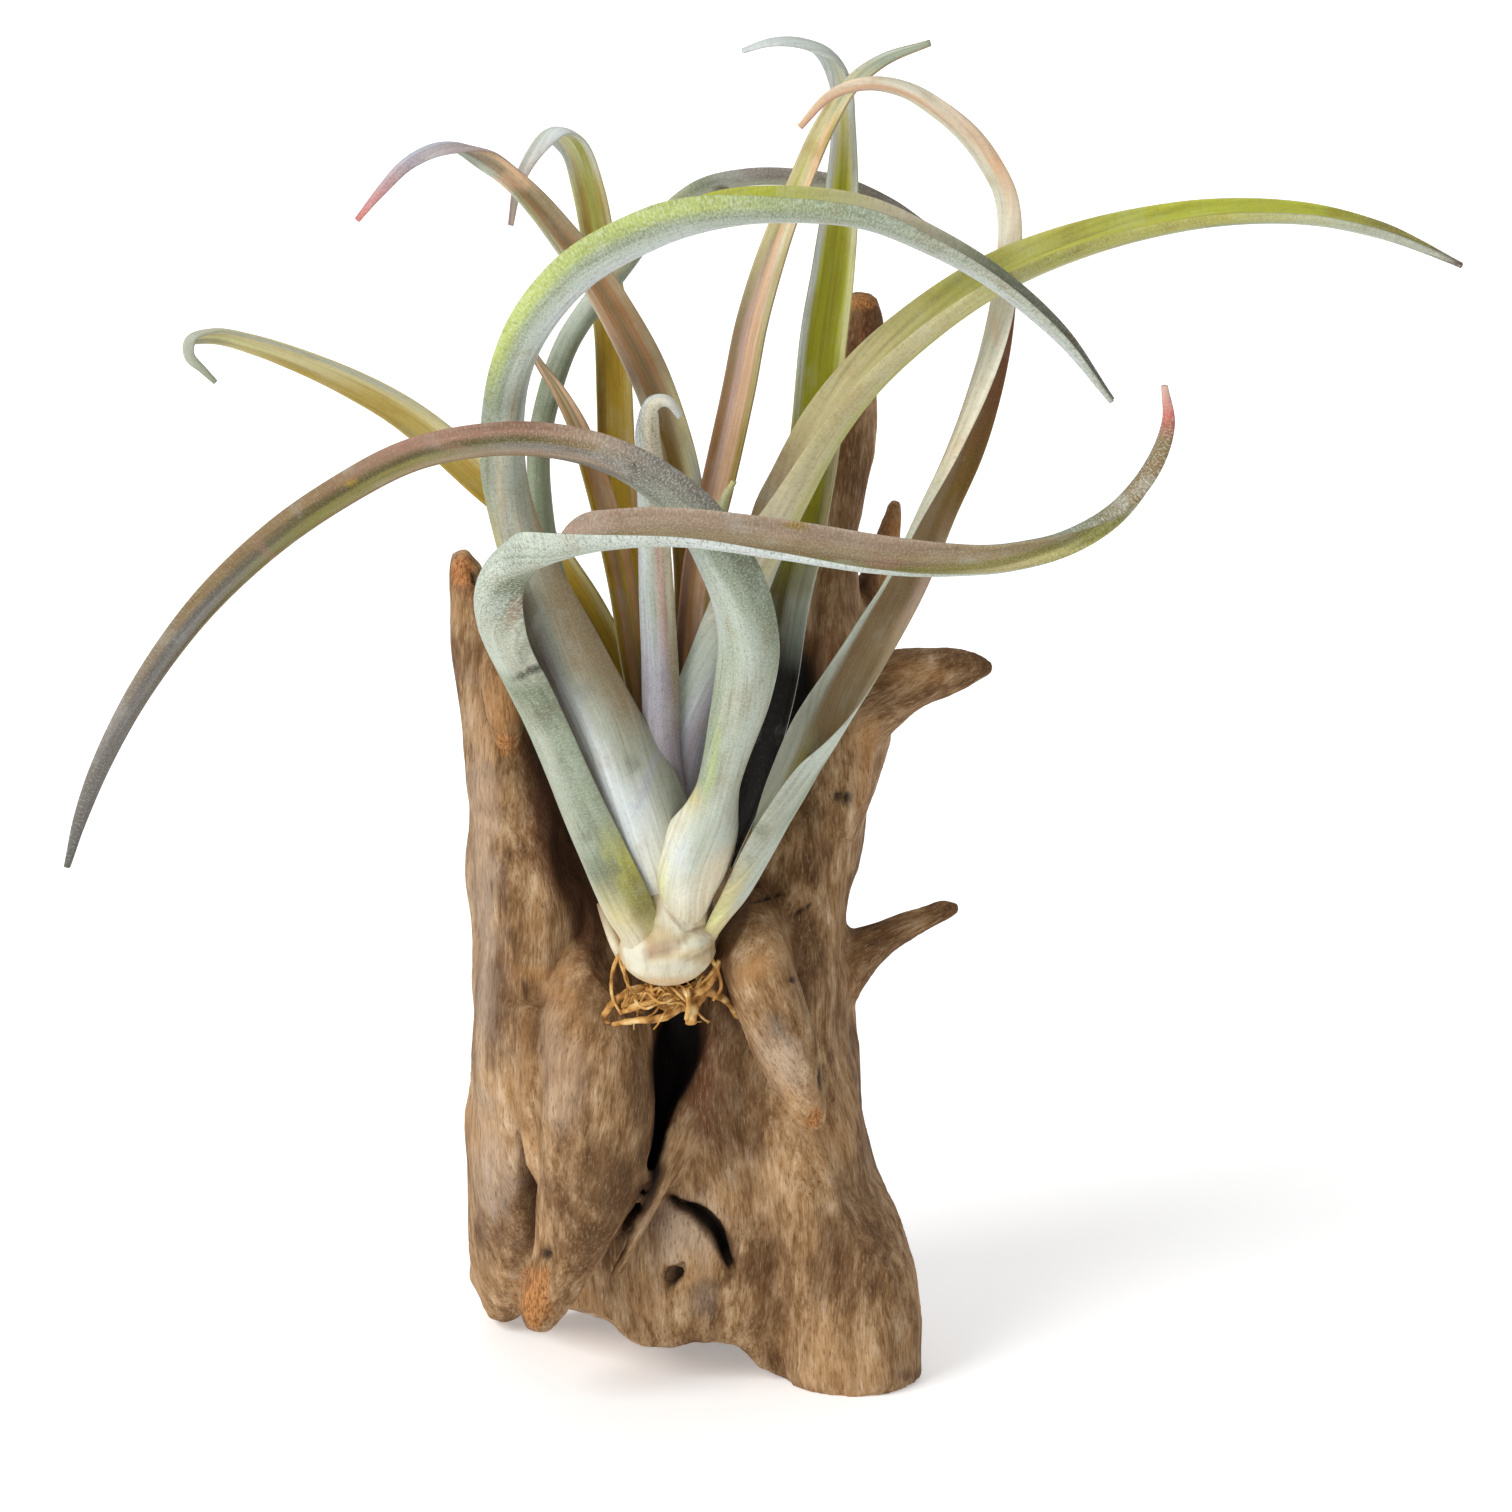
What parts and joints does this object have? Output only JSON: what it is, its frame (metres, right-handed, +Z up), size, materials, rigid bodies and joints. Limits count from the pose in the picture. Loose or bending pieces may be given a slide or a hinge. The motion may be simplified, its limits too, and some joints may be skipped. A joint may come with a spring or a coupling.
{
  "type": "air plant on driftwood",
  "caption": "Air plant with long curling channelled leaves, held by its roots in the pocket of a branched piece of driftwood that stands on the floor.",
  "frame": {"origin": "on the floor, under the middle of the whole object's box", "axes": "+Z up, front towards -Y, +X to the viewer's right"},
  "size_m": [0.2758, 0.1088, 0.2853],
  "materials": {
    "driftwood": "matte",
    "stem_base": "matte",
    "roots": "matte",
    "leaf_front_left": "matte",
    "leaf_left_drooping": "matte",
    "leaf_right_curling": "matte",
    "leaf_arch": "matte",
    "leaf_small_centre": "matte",
    "leaf_small_tip": "matte",
    "leaf_right_long": "matte",
    "leaf_tall_brown": "matte",
    "leaf_upper_left": "matte",
    "leaf_narrow_tan": "matte",
    "leaf_tall_green": "matte",
    "leaf_back_grey": "matte",
    "leaf_left_olive": "matte",
    "leaf_back_yellow": "matte"
  },
  "bodies": {
    "root": {"driftwood": "driftwood", "stem_base": "stem_base", "roots": "roots", "leaf_front_left": "leaf_front_left", "leaf_left_drooping": "leaf_left_drooping", "leaf_right_curling": "leaf_right_curling", "leaf_arch": "leaf_arch", "leaf_small_centre": "leaf_small_centre", "leaf_small_tip": "leaf_small_tip", "leaf_right_long": "leaf_right_long", "leaf_tall_brown": "leaf_tall_brown", "leaf_upper_left": "leaf_upper_left", "leaf_narrow_tan": "leaf_narrow_tan", "leaf_tall_green": "leaf_tall_green", "leaf_back_grey": "leaf_back_grey", "leaf_left_olive": "leaf_left_olive", "leaf_back_yellow": "leaf_back_yellow"}
  },
  "joints": []
}
